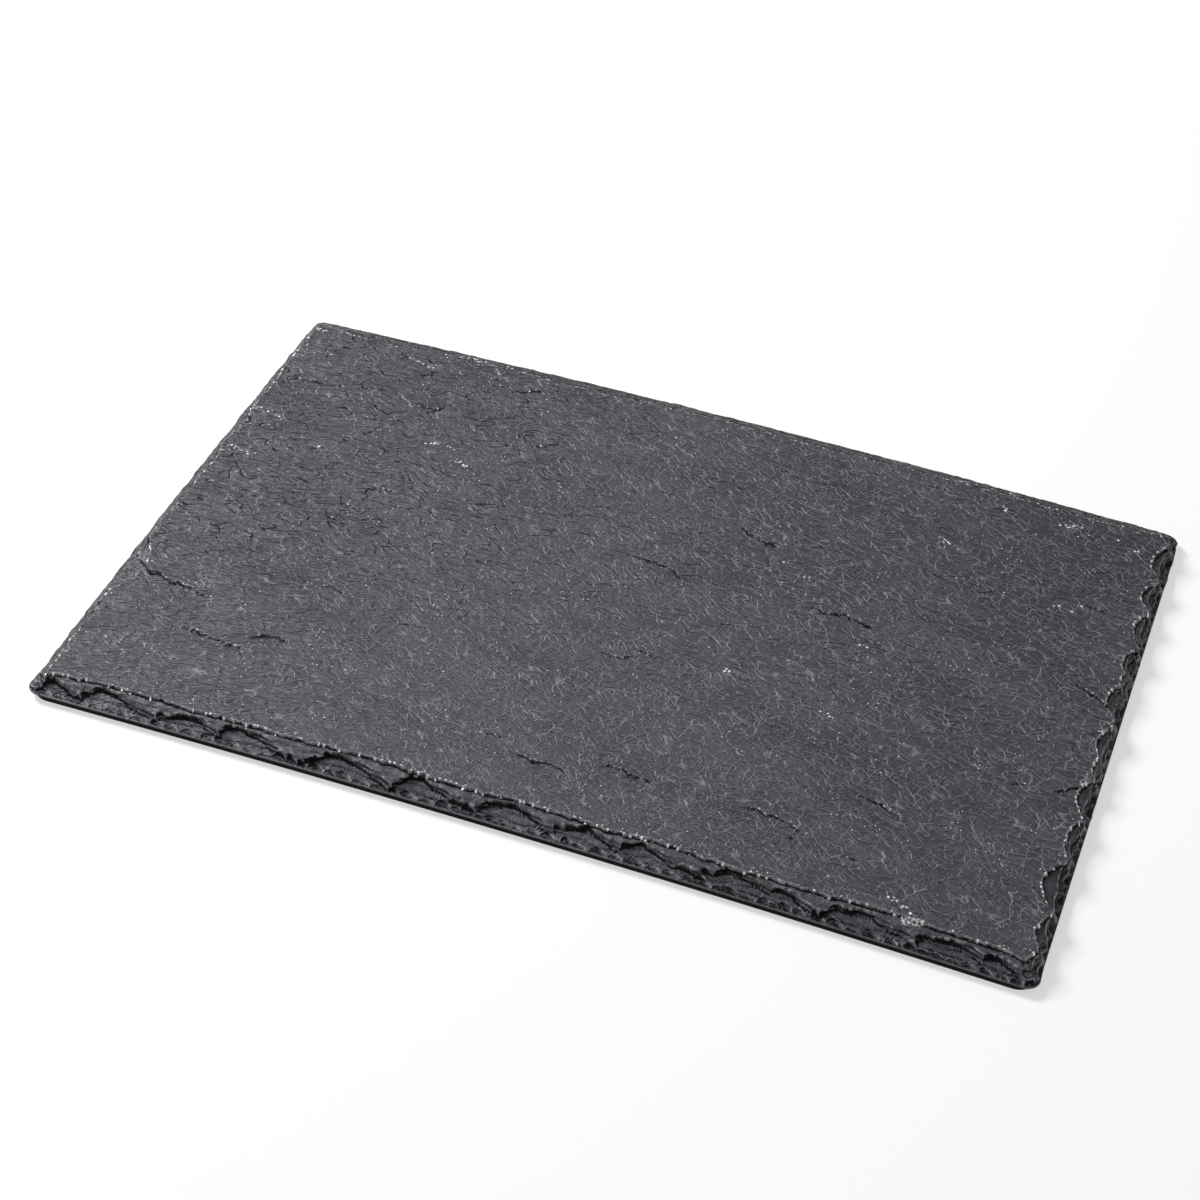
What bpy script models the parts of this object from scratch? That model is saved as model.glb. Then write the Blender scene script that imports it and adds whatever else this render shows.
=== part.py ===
"""Slate slab: a riven plate of natural slate with flaked edges, on a thin black backing sheet.

Metres, +Z up. X runs along the long side and Y along the short one; the front is at -Y. The
underside of the backing is at Z = 0, and the origin is at the centre of the outline's box.
The slate is worked out as heights over its plan, drawn as a straight rounded rectangle. The
slight bow of each side is laid over it at the end.
"""
import math
from collections import namedtuple

import bmesh
import bpy
import numpy as np

MM = 0.001

# Driving dimensions of the plate, in metres
LENGTH = 0.300
WIDTH = 0.200
CORNER_RADIUS = 0.004
TOTAL_HEIGHT = 0.007
BACKING_THICKNESS = 0.002
BACKING_INSET = 0.0004
BACKING_CORNER = 0.0065
GAP = 0.0003
ARRIS_HEIGHT = 0.0004

# How far the middle of each side stands out from the straight line between its corners
BOW_FRONT = -0.0020
BOW_BACK = 0.0036
BOW_LEFT = 0.0008
BOW_RIGHT = 0.0

# The flaked bevel: its short broken step under the rim, and how full its slope is
RIM_STEP = 0.00070
SLOPE_POWER = 0.62
FLAKE_FLOOR_SLOPE = 0.05
SCOOP_FOOT = 0.0022

# How far the rim wanders in and out, over long and short stretches of it
RIM_DRIFT = 0.00016
RIM_DRIFT_LUMP = 0.011
RIM_WANDER = 0.00045
RIM_WANDER_LUMP = 0.0028

# A flake: the width of its end wall, how much wider that is at its gentle end, and its share of the depth
FLAKE_WALL = 0.0005
GENTLE_SIDE = 4.0
WALL_SHARE = 0.66

# The cleavage layers that the bevel steps down, and how they rise and fall
LAYER = 0.00095
LAYER_SHARE = 0.28
LAYER_DRIFT_LUMP = 0.014
LAYER_WANDER_LUMP = 0.004

# The riven top: slow swells, and how a cleavage ledge falls and fades
SWELL = 0.00016
SWELL_LUMP = 0.045
LEDGE_EDGE = 0.0007
LEDGE_FADE = 0.016

# Where two sides meet, the nearer one counts for more by this power of its distance
NEARNESS_POWER = -4
NEARNESS_START = 0.0003

# The net that carries the heights, and how much of it the finished solid keeps
BAND = 0.0125
BAND_STEP = 0.00070
MIDDLE_STEP = 0.00120
KEPT_SHARE = 0.086
SEED = 5

Side = namedtuple("Side", "start along inward length run")
Flake = namedtuple("Flake", "at inward width reach depth lean")

SIDES = {
    "front": Side((-LENGTH / 2, -WIDTH / 2), (1, 0), (0, 1), LENGTH, 0.0064),
    "right": Side((LENGTH / 2, -WIDTH / 2), (0, 1), (-1, 0), WIDTH, 0.0018),
    "back": Side((LENGTH / 2, WIDTH / 2), (-1, 0), (0, -1), LENGTH, 0.0078),
    "left": Side((-LENGTH / 2, WIDTH / 2), (0, -1), (1, 0), WIDTH, 0.0040),
}

# Bays that large flakes left in the rim, in mm: place along the side, width, width of the bevel there
BAYS = {
    "front": ((30, 30, 7.0), (72, 26, 6.9), (103, 30, 7.2), (154, 30, 7.1), (192, 26, 7.3), (255, 34, 7.4),
              (281, 26, 7.0)),
    "right": ((5, 12, 4.4), (17, 15, 4.8), (35, 20, 7.4), (53, 18, 4.8), (71, 17, 5.4), (84, 11, 4.0),
              (94, 16, 4.8), (113, 16, 6.3), (122, 11, 4.2), (131, 13, 5.2), (147, 17, 4.8), (163, 15, 5.8),
              (180, 17, 6.2), (194, 12, 4.4)),
    "back": ((40, 44, 8.6), (118, 60, 8.4), (196, 50, 8.8), (268, 46, 9.6)),
    "left": ((44, 18, 4.8), (66, 20, 5.2), (90, 20, 5.4), (105, 16, 5.0), (142, 26, 9.0), (168, 16, 5.0),
             (186, 12, 4.6)),
}

# Large scoops under the front rim, in mm: place along the side, width, reach
FRONT_SCOOPS = ((12, 16, 5.0), (30, 27, 5.9), (54, 24, 5.2), (72, 24, 5.9), (103, 29, 6.2), (126, 24, 6.0),
                (135, 18, 3.6), (154, 27, 6.0), (176, 25, 5.9), (192, 24, 6.2), (203, 19, 3.8), (220, 27, 5.9),
                (232, 19, 5.2), (255, 29, 6.1), (279, 25, 5.8), (292, 15, 5.0))
FRONT_SCOOP_DEPTH = 1.6
FRONT_SCOOP_LEAN = -0.8

# The other sides' scoops and all sides' small chips, in mm: spacing, widths, reaches, depth
SCOOPS = {"right": (9, (9, 15), (2.6, 4.0), 1.1), "back": (24, (22, 38), (3.9, 5.9), 0.45),
          "left": (15, (13, 22), (2.4, 3.4), 0.7)}
SCOOP_LEAN = -0.3
CHIPS = {"front": (4.4, (3.6, 6.2), (1.5, 2.8), 1.05), "right": (5.0, (3.6, 6.2), (1.1, 2.4), 0.9),
         "back": (9, (3.6, 6.2), (0.9, 1.8), 0.3), "left": (5.5, (3.6, 6.2), (1.0, 2.0), 0.5)}
CHIP_LEAN = -0.5

# The flake at each corner, in metres: width, reach, depth, lean
CORNER_FLAKE = (0.013, 0.0046, 0.0009, -0.2)

# Cleavage ledges on the top, in mm: the drop, then the points of the step, low on its right-hand side
LEDGES = (
    (0.50, ((-149, -31), (-144, -39), (-137.5, -43.5), (-125.5, -45.5), (-118, -47.5), (-110, -47.5))),
    (0.34, ((-122, -62.5), (-116.5, -62.5), (-103.5, -64.5), (-97.5, -65.5), (-93, -68.5))),
    (0.30, ((-99, -61), (-94.5, -57), (-88, -57.5), (-83.5, -57))),
    (0.36, ((-9.5, -74.5), (-2.5, -76.5), (4, -76.5), (11.5, -78))),
    (0.34, ((15, -71.5), (22.5, -70.5), (27.5, -71.5), (34.5, -72))),
    (0.38, ((55, -70), (61, -70.5), (68.5, -71.5), (75, -73), (77.5, -74), (79, -77.5))),
    (0.36, ((-12, 17), (-5, 17.5), (2.5, 16.5), (6.5, 16), (11, 13.5), (17, 13))),
    (0.34, ((19, 44.5), (24, 40.5), (30, 39.5), (37.5, 37.5))),
    (0.30, ((50, 16.5), (56.5, 15), (62, 16.5), (66, 15.5), (75, 14))),
    (0.28, ((85, -54), (93.5, -55), (102.5, -58.5))),
    (0.34, ((137, -31.5), (142, -28), (148, -23))),
    (0.28, ((-73, 81), (-68.5, 81), (-63, 84.5), (-59, 84))),
    (0.28, ((131, 14), (137, 14), (141.5, 12), (147, 6))),
)


def noise(x, y, lump, seed):
    """Returns smooth noise from -1 to 1, with lumps of about the given size."""
    lattice = np.random.default_rng(seed).uniform(-1, 1, (128, 128))
    u, v = x / lump + 1000, y / lump + 1000
    i, j = np.floor(u).astype(int), np.floor(v).astype(int)
    a, b = u - i, v - j
    a, b = a * a * (3 - 2 * a), b * b * (3 - 2 * b)
    i, j = i % 127, j % 127
    low = lattice[i, j] * (1 - a) + lattice[i + 1, j] * a
    high = lattice[i, j + 1] * (1 - a) + lattice[i + 1, j + 1] * a
    return low * (1 - b) + high * b


def edge_distance(x, y, radius):
    """Returns how far points lie inside the straight rounded rectangle."""
    from_x, from_y = LENGTH / 2 - abs(x), WIDTH / 2 - abs(y)
    rounded = radius - np.hypot(np.maximum(radius - from_x, 0), np.maximum(radius - from_y, 0))
    return np.where((from_x < radius) & (from_y < radius), rounded, np.minimum(from_x, from_y))


def round_corner(x, y, radius):
    """Bends the square corners of the plan to quarter circles of the given radius."""
    over_x = np.maximum(abs(x) - (LENGTH / 2 - radius), 0) / radius
    over_y = np.maximum(abs(y) - (WIDTH / 2 - radius), 0) / radius
    shift_x = radius * over_x * (np.sqrt(1 - over_y ** 2 / 2) - 1)
    shift_y = radius * over_y * (np.sqrt(1 - over_x ** 2 / 2) - 1)
    return x + np.sign(x) * shift_x, y + np.sign(y) * shift_y


def bow(x, y):
    """Lays the bow of the four sides over the straight plan, and centres the outline's box."""
    u, v = x / (LENGTH / 2), y / (WIDTH / 2)
    out_x = (1 - v ** 2) * (BOW_RIGHT * (1 + u) - BOW_LEFT * (1 - u)) / 2
    out_y = (1 - u ** 2) * (BOW_BACK * (1 + v) - BOW_FRONT * (1 - v)) / 2
    centre_x = (max(BOW_RIGHT, 0) - max(BOW_LEFT, 0)) / 2
    centre_y = (max(BOW_BACK, 0) - max(BOW_FRONT, 0)) / 2
    return x + out_x - centre_x, y + out_y - centre_y


def along_side(side, x, y):
    """Returns the place along a side, and the distance inward from it, of points of the plan."""
    from_x, from_y = x - side.start[0], y - side.start[1]
    along = from_x * side.along[0] + from_y * side.along[1]
    return along, from_x * side.inward[0] + from_y * side.inward[1]


def bevel_run(x, y):
    """Returns how wide the bevel is for each point, from the bays and points of the nearest sides."""
    total, weights = 0, 0
    for number, (name, side) in enumerate(SIDES.items()):
        along, inward = along_side(side, x, y)
        run = side.run + RIM_DRIFT * noise(along, inward, RIM_DRIFT_LUMP, SEED + number)
        for place, width, reach in BAYS[name]:
            across = np.clip(2 * (along - place * MM) / (width * MM), -1, 1)
            run = np.maximum(run, side.run + (reach * MM - side.run) * (1 - across ** 2))
        run = run + RIM_WANDER * noise(along, inward, RIM_WANDER_LUMP, SEED + 10 + number)
        weight = (np.maximum(inward, 0) + NEARNESS_START) ** NEARNESS_POWER
        total, weights = total + run * weight, weights + weight
    return total / weights


def side_flakes(side, places, depth, lean):
    """Makes the flakes of one side from places along it with their widths and reaches, in mm."""
    for place, width, reach in places:
        at = [side.start[k] + side.along[k] * place * MM for k in (0, 1)]
        yield Flake(at, side.inward, width * MM, reach * MM, depth * MM, lean)


def strewn(rng, length, spacing, width, reach):
    """Lists uneven places along a side, each with a width and a reach, in mm."""
    places, at = [], rng.uniform(0.3, 0.7) * spacing
    while at < length / MM:
        places.append((at, rng.uniform(*width), rng.uniform(*reach)))
        at += spacing * rng.uniform(0.65, 1.35)
    return places


def scoops():
    """Returns the large scoops of all sides."""
    rng = np.random.default_rng(SEED)
    flakes = list(side_flakes(SIDES["front"], FRONT_SCOOPS, FRONT_SCOOP_DEPTH, FRONT_SCOOP_LEAN))
    for name, (spacing, width, reach, depth) in SCOOPS.items():
        side = SIDES[name]
        flakes += side_flakes(side, strewn(rng, side.length, spacing, width, reach), depth, SCOOP_LEAN)
    for sign_x in (-1, 1):
        for sign_y in (-1, 1):
            middle = (sign_x * (LENGTH / 2 - CORNER_RADIUS), sign_y * (WIDTH / 2 - CORNER_RADIUS))
            inward = (-sign_x * math.sqrt(0.5), -sign_y * math.sqrt(0.5))
            at = [middle[k] - CORNER_RADIUS * inward[k] for k in (0, 1)]
            flakes.append(Flake(at, inward, *CORNER_FLAKE))
    return flakes


def chips():
    """Returns the small chips that line the foot of the bevel."""
    rng = np.random.default_rng(SEED + 1)
    flakes = []
    for name, (spacing, width, reach, depth) in CHIPS.items():
        side = SIDES[name]
        flakes += side_flakes(side, strewn(rng, side.length, spacing, width, reach), depth, CHIP_LEAN)
    return flakes


def cut_depth(x, y, flakes):
    """Returns how deep the deepest of the flakes cuts at each point: a bowl with a steep end wall."""
    deepest = np.zeros_like(x)
    for flake in flakes:
        from_x, from_y = x - flake.at[0], y - flake.at[1]
        near = np.nonzero(np.hypot(from_x, from_y) < flake.width + flake.reach)[0]
        from_x, from_y = from_x[near], from_y[near]
        inward = from_x * flake.inward[0] + from_y * flake.inward[1]
        across = -from_x * flake.inward[1] + from_y * flake.inward[0] + flake.lean * inward
        spread = np.hypot(2 * across / flake.width, inward / flake.reach)
        gentle = 1 + GENTLE_SIDE * np.clip(-2 * across / flake.width, 0, 1)
        wall = np.clip((1 - spread) * flake.reach / (FLAKE_WALL * gentle), 0, 1)
        bowl = flake.depth * (WALL_SHARE * wall + (1 - WALL_SHARE) * np.sqrt(np.clip(1 - spread ** 2, 0, 1)))
        deepest[near] = np.maximum(deepest[near], bowl)
    return deepest


def layered(height, x, y):
    """Returns heights drawn towards the cleavage layers, whose broken edges step down the bevel."""
    level = height / LAYER + 0.5 * noise(x, y, LAYER_DRIFT_LUMP, SEED + 30)
    level = level + 0.2 * noise(x, y, LAYER_WANDER_LUMP, SEED + 31)
    tread = np.floor(level)
    stepped = tread + np.clip(3 * (level - tread) - 1, 0, 1)
    return height + LAYER_SHARE * LAYER * (stepped - level)


def ledge_drop(x, y):
    """Returns how far the cleavage ledges lower the top: each falls at its step and fades away from it."""
    total = np.zeros_like(x)
    for drop, points in LEDGES:
        points = np.array(points) * MM
        lengths = np.hypot(*np.diff(points, axis=0).T)
        best = np.full(x.shape, np.inf)
        fall = np.zeros_like(x)
        so_far = 0.0
        for start, end, length in zip(points, points[1:], lengths):
            from_x, from_y = x - start[0], y - start[1]
            along = (from_x * (end[0] - start[0]) + from_y * (end[1] - start[1])) / length
            right = (from_x * (end[1] - start[1]) - from_y * (end[0] - start[0])) / length
            away = np.hypot(right, along - np.clip(along, 0, length))
            share = (so_far + np.clip(along, 0, length)) / lengths.sum()
            taper = np.clip(5 * share, 0, 1) * np.clip(5 * (1 - share), 0, 1)
            step = np.clip(right / LEDGE_EDGE, 0, 1) * np.clip(1 - away / LEDGE_FADE, 0, 1) ** 2
            closer = away < best
            fall[closer] = (drop * MM * taper * step)[closer]
            best = np.minimum(best, away)
            so_far += length
        total = total + fall
    return total


def surface_height(x, y):
    """Returns the height of the slate's upper surface over each point of the straight plan."""
    foot = BACKING_THICKNESS + GAP + ARRIS_HEIGHT
    top = TOTAL_HEIGHT + SWELL * (noise(x, y, SWELL_LUMP, SEED + 20) - 1) - ledge_drop(x, y)
    inside = edge_distance(x, y, CORNER_RADIUS)
    run = bevel_run(x, y)
    share = np.clip(inside / run, 0, 1)
    slope = foot + (top - RIM_STEP - foot) * share ** SLOPE_POWER
    slope = slope - cut_depth(x, y, scoops()) * np.clip(inside / SCOOP_FOOT, 0, 1)
    slope = slope - cut_depth(x, y, chips())
    slope = layered(slope, x, y)
    slope = np.maximum(slope, foot + FLAKE_FLOOR_SLOPE * np.maximum(inside, 0))
    return np.where(inside < run, np.minimum(slope, top), top)


def spaced(half):
    """Returns places from -half to half, close together near both ends."""
    band = np.arange(0, BAND, BAND_STEP)
    count = round((2 * half - 2 * BAND) / MIDDLE_STEP)
    middle = np.linspace(BAND, 2 * half - BAND, count + 1)
    return np.concatenate([band, middle, 2 * half - band[::-1]]) - half


def material(name, colour, roughness):
    """Makes a plain material for one piece."""
    new = bpy.data.materials.new(name)
    new.use_nodes = True
    shader = new.node_tree.nodes["Principled BSDF"]
    shader.inputs["Base Color"].default_value = (*colour, 1)
    shader.inputs["Roughness"].default_value = roughness
    new.diffuse_color = (*colour, 1)
    return new


def add_object(name, mesh, collection, finish):
    """Adds a mesh to the collection as a named piece."""
    piece = bpy.data.objects.new(name, mesh)
    mesh.materials.append(finish)
    collection.objects.link(piece)
    return piece


def slate_slab(collection):
    """Makes the slate: a net over the plan, raised to the surface, closed by its side and flat underside."""
    columns, rows = spaced(LENGTH / 2), spaced(WIDTH / 2)
    net = bmesh.new()
    bmesh.ops.create_grid(net, x_segments=len(columns) - 1, y_segments=len(rows) - 1, size=1)
    places = np.array([vertex.co[:2] for vertex in net.verts])
    x = columns[np.rint((places[:, 0] + 1) / 2 * (len(columns) - 1)).astype(int)]
    y = rows[np.rint((places[:, 1] + 1) / 2 * (len(rows) - 1)).astype(int)]
    x, y = round_corner(x, y, CORNER_RADIUS)
    z = surface_height(x, y)
    for vertex, place in zip(net.verts, zip(*bow(x, y), z)):
        vertex.co = place

    rim = [edge for edge in net.edges if edge.is_boundary]
    side = bmesh.ops.extrude_edge_only(net, edges=rim)["geom"]
    for vertex in (item for item in side if isinstance(item, bmesh.types.BMVert)):
        vertex.co.z = BACKING_THICKNESS + GAP
    underside = [item for item in side if isinstance(item, bmesh.types.BMEdge) and item.is_boundary]
    bmesh.ops.triangle_fill(net, edges=underside, use_beauty=False)
    bmesh.ops.recalc_face_normals(net, faces=net.faces)
    mesh = bpy.data.meshes.new("slate_slab")
    net.to_mesh(mesh)
    net.free()

    piece = add_object("slate_slab", mesh, collection, material("slate", (0.100, 0.100, 0.108), 0.55))
    decimate = piece.modifiers.new("Fewer facets", "DECIMATE")
    decimate.ratio = KEPT_SHARE
    return piece


def backing_sheet(collection):
    """Makes the thin sheet under the slate, whose outline follows the slate's a little further in."""
    half_x, half_y = LENGTH / 2 - BACKING_INSET, WIDTH / 2 - BACKING_INSET
    sheet = bmesh.new()
    bmesh.ops.create_cube(sheet, size=1)
    for vertex in sheet.verts:
        vertex.co = (2 * half_x * vertex.co.x, 2 * half_y * vertex.co.y, (vertex.co.z + 0.5) * BACKING_THICKNESS)
    upright = [edge for edge in sheet.edges if abs(edge.verts[0].co.z - edge.verts[1].co.z) > GAP]
    bmesh.ops.bevel(sheet, geom=upright, offset=BACKING_CORNER, offset_type="OFFSET", segments=8, profile=0.5,
                    affect="EDGES")
    long_edges = [edge for edge in sheet.edges if edge.calc_length() > WIDTH / 2]
    bmesh.ops.subdivide_edges(sheet, edges=long_edges, cuts=15)
    for vertex in sheet.verts:
        vertex.co.x, vertex.co.y = bow(vertex.co.x, vertex.co.y)
    mesh = bpy.data.meshes.new("foam_backing")
    sheet.to_mesh(mesh)
    sheet.free()
    return add_object("foam_backing", mesh, collection, material("foam", (0.010, 0.010, 0.011), 0.8))


def main():
    """Clears the scene and builds the slab on its backing."""
    for old in list(bpy.data.objects):
        bpy.data.objects.remove(old)
    collection = bpy.data.collections.new("Slate slab")
    bpy.context.scene.collection.children.link(collection)
    slate_slab(collection)
    backing_sheet(collection)


main()
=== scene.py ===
"""Finishes the slate slab: the fine riven stone, its foam backing, and the stage it is seen on."""
import math
from collections import namedtuple

import bmesh
import bpy
import numpy as np
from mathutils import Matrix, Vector


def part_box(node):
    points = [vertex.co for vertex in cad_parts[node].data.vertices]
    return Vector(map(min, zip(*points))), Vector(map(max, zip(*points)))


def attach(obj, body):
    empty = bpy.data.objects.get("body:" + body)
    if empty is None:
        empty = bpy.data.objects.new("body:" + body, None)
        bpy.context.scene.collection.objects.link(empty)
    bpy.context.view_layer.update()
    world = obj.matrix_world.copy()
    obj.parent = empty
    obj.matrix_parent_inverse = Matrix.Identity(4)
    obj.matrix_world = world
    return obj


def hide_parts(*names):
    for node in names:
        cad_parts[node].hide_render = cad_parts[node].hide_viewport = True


bl_info = {
    "name": "Slate Slab",
    "version": (1, 0, 0),
    "blender": (4, 5, 0),
    "location": "3D View > Sidebar > Slate Slab",
    "description": "Builds a riven slate slab with flaked edges on a foam backing",
    "category": "Object",
}

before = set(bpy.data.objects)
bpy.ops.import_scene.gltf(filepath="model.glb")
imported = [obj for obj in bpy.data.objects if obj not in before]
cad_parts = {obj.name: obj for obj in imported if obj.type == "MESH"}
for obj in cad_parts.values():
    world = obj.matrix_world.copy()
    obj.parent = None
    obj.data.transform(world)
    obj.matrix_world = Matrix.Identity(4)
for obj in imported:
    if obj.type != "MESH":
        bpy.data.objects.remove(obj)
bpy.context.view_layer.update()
SLATE_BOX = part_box("slate_slab")
BACKING_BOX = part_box("foam_backing")

MM = 0.001
SEED = 5

# The noise is drawn on a lattice of this many points a side, and places are shifted clear of its start
LATTICE = 128
LATTICE_SHIFT = 1000

# The straight plan under the bowed outline, and how far the middle of each side stands out from it
LENGTH = 0.300
WIDTH = 0.200
CORNER_RADIUS = 0.004
BOW_FRONT = -0.0020
BOW_BACK = 0.0036
BOW_LEFT = 0.0008
BOW_RIGHT = 0.0

# How far from the outline its unevenness reaches
OUTLINE_FADE = 0.004

Side = namedtuple("Side", "start along inward length run")
Flake = namedtuple("Flake", "at inward width reach depth lean")

SIDES = {
    "front": Side((-LENGTH / 2, -WIDTH / 2), (1, 0), (0, 1), LENGTH, 0.0064),
    "right": Side((LENGTH / 2, -WIDTH / 2), (0, 1), (-1, 0), WIDTH, 0.0018),
    "back": Side((LENGTH / 2, WIDTH / 2), (-1, 0), (0, -1), LENGTH, 0.0078),
    "left": Side((-LENGTH / 2, WIDTH / 2), (0, -1), (1, 0), WIDTH, 0.0040),
}

# Bays that large flakes left in the rim, in mm: place along the side, width, width of the bevel there
BAYS = {
    "front": ((30, 30, 7.0), (72, 26, 6.9), (103, 30, 7.2), (154, 30, 7.1), (192, 26, 7.3),
              (255, 34, 7.4), (281, 26, 7.0)),
    "right": ((5, 12, 4.4), (17, 15, 4.8), (35, 20, 7.4), (53, 18, 4.8), (71, 17, 5.4), (84, 11, 4.0),
              (94, 16, 4.8), (113, 16, 6.3), (122, 11, 4.2), (131, 13, 5.2), (147, 17, 4.8),
              (163, 15, 5.8), (180, 17, 6.2), (194, 12, 4.4)),
    "back": ((40, 44, 8.6), (118, 60, 8.4), (196, 50, 8.8), (268, 46, 9.6)),
    "left": ((44, 18, 4.8), (66, 20, 5.2), (90, 20, 5.4), (105, 16, 5.0), (142, 26, 9.0), (168, 16, 5.0),
             (186, 12, 4.6)),
}

# Large scoops under the front rim, in mm: place along the side, width, reach
FRONT_SCOOPS = ((12, 16, 5.0), (30, 27, 5.9), (54, 24, 5.2), (72, 24, 5.9), (103, 29, 6.2),
                (126, 24, 6.0), (135, 18, 3.6), (154, 27, 6.0), (176, 25, 5.9), (192, 24, 6.2),
                (203, 19, 3.8), (220, 27, 5.9), (232, 19, 5.2), (255, 29, 6.1), (279, 25, 5.8),
                (292, 15, 5.0))

# The scoop at each corner: width, reach, depth and lean
CORNER_SCOOP = (0.013, 0.0046, 0.0009, -0.2)

# Cleavage ledges on the top, in mm: the drop, then the points of the step, whose right-hand side is low
LEDGES = (
    (0.50, ((-149, -31), (-144, -39), (-137.5, -43.5), (-125.5, -45.5), (-118, -47.5), (-110, -47.5))),
    (0.34, ((-122, -62.5), (-116.5, -62.5), (-103.5, -64.5), (-97.5, -65.5), (-93, -68.5))),
    (0.30, ((-99, -61), (-94.5, -57), (-88, -57.5), (-83.5, -57))),
    (0.36, ((-9.5, -74.5), (-2.5, -76.5), (4, -76.5), (11.5, -78))),
    (0.34, ((15, -71.5), (22.5, -70.5), (27.5, -71.5), (34.5, -72))),
    (0.38, ((55, -70), (61, -70.5), (68.5, -71.5), (75, -73), (77.5, -74), (79, -77.5))),
    (0.36, ((-12, 17), (-5, 17.5), (2.5, 16.5), (6.5, 16), (11, 13.5), (17, 13))),
    (0.34, ((19, 44.5), (24, 40.5), (30, 39.5), (37.5, 37.5))),
    (0.30, ((50, 16.5), (56.5, 15), (62, 16.5), (66, 15.5), (75, 14))),
    (0.28, ((85, -54), (93.5, -55), (102.5, -58.5))),
    (0.34, ((137, -31.5), (142, -28), (148, -23))),
    (0.28, ((-73, 81), (-68.5, 81), (-63, 84.5), (-59, 84))),
    (0.28, ((131, 14), (137, 14), (141.5, 12), (147, 6))),
)

# Short clefts where a thin layer has lifted, in mm: the drop, then the points, in the same way
CLEFTS = tuple((0.16, points) for points in (
    ((-88, -33), (-84.5, -30), (-79, -33)), ((-21.5, -72), (-16, -71.5), (-11, -72.5)),
    ((2.5, -27.5), (7, -27.5), (11.5, -25)), ((10, -21.5), (13.5, -23.5), (18.5, -23.5)),
    ((-64.5, -35), (-61, -37.5), (-54, -37.5)), ((-104.5, 77), (-97.5, 80)),
    ((-96.5, 61.5), (-92.5, 62.5), (-86, 64.5)), ((-54.5, 55), (-45, 60.5)), ((-103, 52), (-95, 52.5)),
    ((-113, 1.5), (-107, 5.5)), ((-99.5, 4), (-97.5, 7), (-93, 5.5), (-89.5, 6)),
    ((-103.5, 0.5), (-98.5, -1), (-92, -3)), ((-146, 60.5), (-137.5, 61.5), (-119, 63)),
    ((-113.5, 39.5), (-108, 35.5), (-103.5, 35)), ((-91.5, 18), (-85, 18)),
    ((-112.5, 85), (-107.5, 85.5)), ((-74.5, 40.5), (-68.5, 39)), ((127.5, 50.5), (137.5, 49)),
    ((140, -5), (144.5, -2.5), (149, -1)), ((81.5, 46), (87, 44)), ((69.5, -82.5), (75, -82)),
    ((90, -78), (94.5, -78)), ((125.5, -34), (127.5, -31.5), (132, -32)),
))

# Rows of painted glints, in mm, and the scuff at the front rim
GLINT_ROWS = (
    ((-146, 42), (-142.5, 43), (-138, 41.5), (-132, 39)),
    ((-144, 17.5), (-143, 21), (-140, 20), (-135.5, 19.5)), ((-119, 31), (-113, 28.5), (-108, 27)),
    ((-144.5, 89.5), (-139, 90.5), (-131, 91.5)), ((-136, 78.5), (-133.5, 77.5)),
    ((-86.5, 44.5), (-82, 46.5)), ((-79.5, 45), (-75.5, 44.5)), ((-74, 40), (-70, 38.5)),
    ((-107, 85), (-101.5, 83), (-98, 84.5)), ((-95, 94), (-86.5, 94.5), (-80, 96), (-70.5, 92)),
    ((79.5, 94.5), (83, 95)), ((87, 95.5), (89.5, 95.5)), ((94, 95), (99, 92.5)),
    ((94.5, 86.5), (96.5, 83)), ((103.5, 92.5), (109.5, 93), (111, 93)),
    ((113.5, 84.5), (117.5, 85), (121, 86)), ((125, 85.5), (127.5, 85.5)), ((130, 84.5), (133, 84.5)),
    ((137.5, 81.5), (139.5, 82.5)), ((37.5, 32), (44, 30.5), (49.5, 26.5)), ((69.5, 5), (74, 4.5)),
    ((65.5, -24.5), (72.5, -28.5)), ((34.5, -22), (40, -19.5)), ((18, -88), (20, -87)),
    ((119, 44), (123, 47), (126.5, 45.5), (128, 49.5)), ((104, -87), (109.5, -89), (113, -91)),
    ((78, 63), (86, 60)),
)
SCUFF = ((111.5, -93.6), (116, -92.6))

# The stone's strokes, in the order of their group's inputs: direction in degrees, stretch, spacing, length
# and width in mm, spread, bend, share, and a number that sets each layer's pattern apart
STROKES = (
    (15, 2.3, 2.7, 8.4, 0.28, 0.5, 0.07, 0.85, 0.3),
    (-16, 2.1, 2.7, 7.6, 0.27, 0.7, 0.07, 0.85, 5.7),
    (44, 1.8, 3.4, 6.2, 0.26, 1.0, 0.09, 0.60, 9.1),
)

# Its wrinkles, in the same way: turn in degrees, stretch, spacing in mm, thickness, breaks, curl and the
# same number. The last one is their weight. Then the sizes of their curls and patches, as shares of a cell
WRINKLES = ((12, 1.8, 4.2, 0.060, 0.40, 0.8, 0.0, 0.9), (-10, 1.5, 2.6, 0.080, 0.42, 0.7, 31.7, 0.6))
CURL_LUMP = 1 / 1.3
PATCH_LUMP = 1 / 0.9

# How far the whole pattern swirls, in mm
SWIRL = 3.4

# Its creased swells at the left and at the right: direction in degrees, length and width in mm
SWELLS = ((14, 6.4, 1.7), (-14, 3.2, 1.9))

# Where the wrinkles close up to a net, in mm, and half the size of that patch
NET_MIDDLE = (118.0, -75.0, 0.0)
NET_SIZE = (32.0, 19.0)


def a_length(name, description, default, **limits):
    """Defines a length that the user may change."""
    return bpy.props.FloatProperty(name=name, description=description, default=default, unit="LENGTH",
                                   **limits)


def a_share(name, description, default):
    """Defines a share of 1 that the user may change."""
    return bpy.props.FloatProperty(name=name, description=description, default=default, subtype="FACTOR")


def a_strength(name, description, default, **unit):
    """Defines a strength or another number from 0 up that the user may change."""
    return bpy.props.FloatProperty(name=name, description=description, default=default, min=0, **unit)


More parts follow.
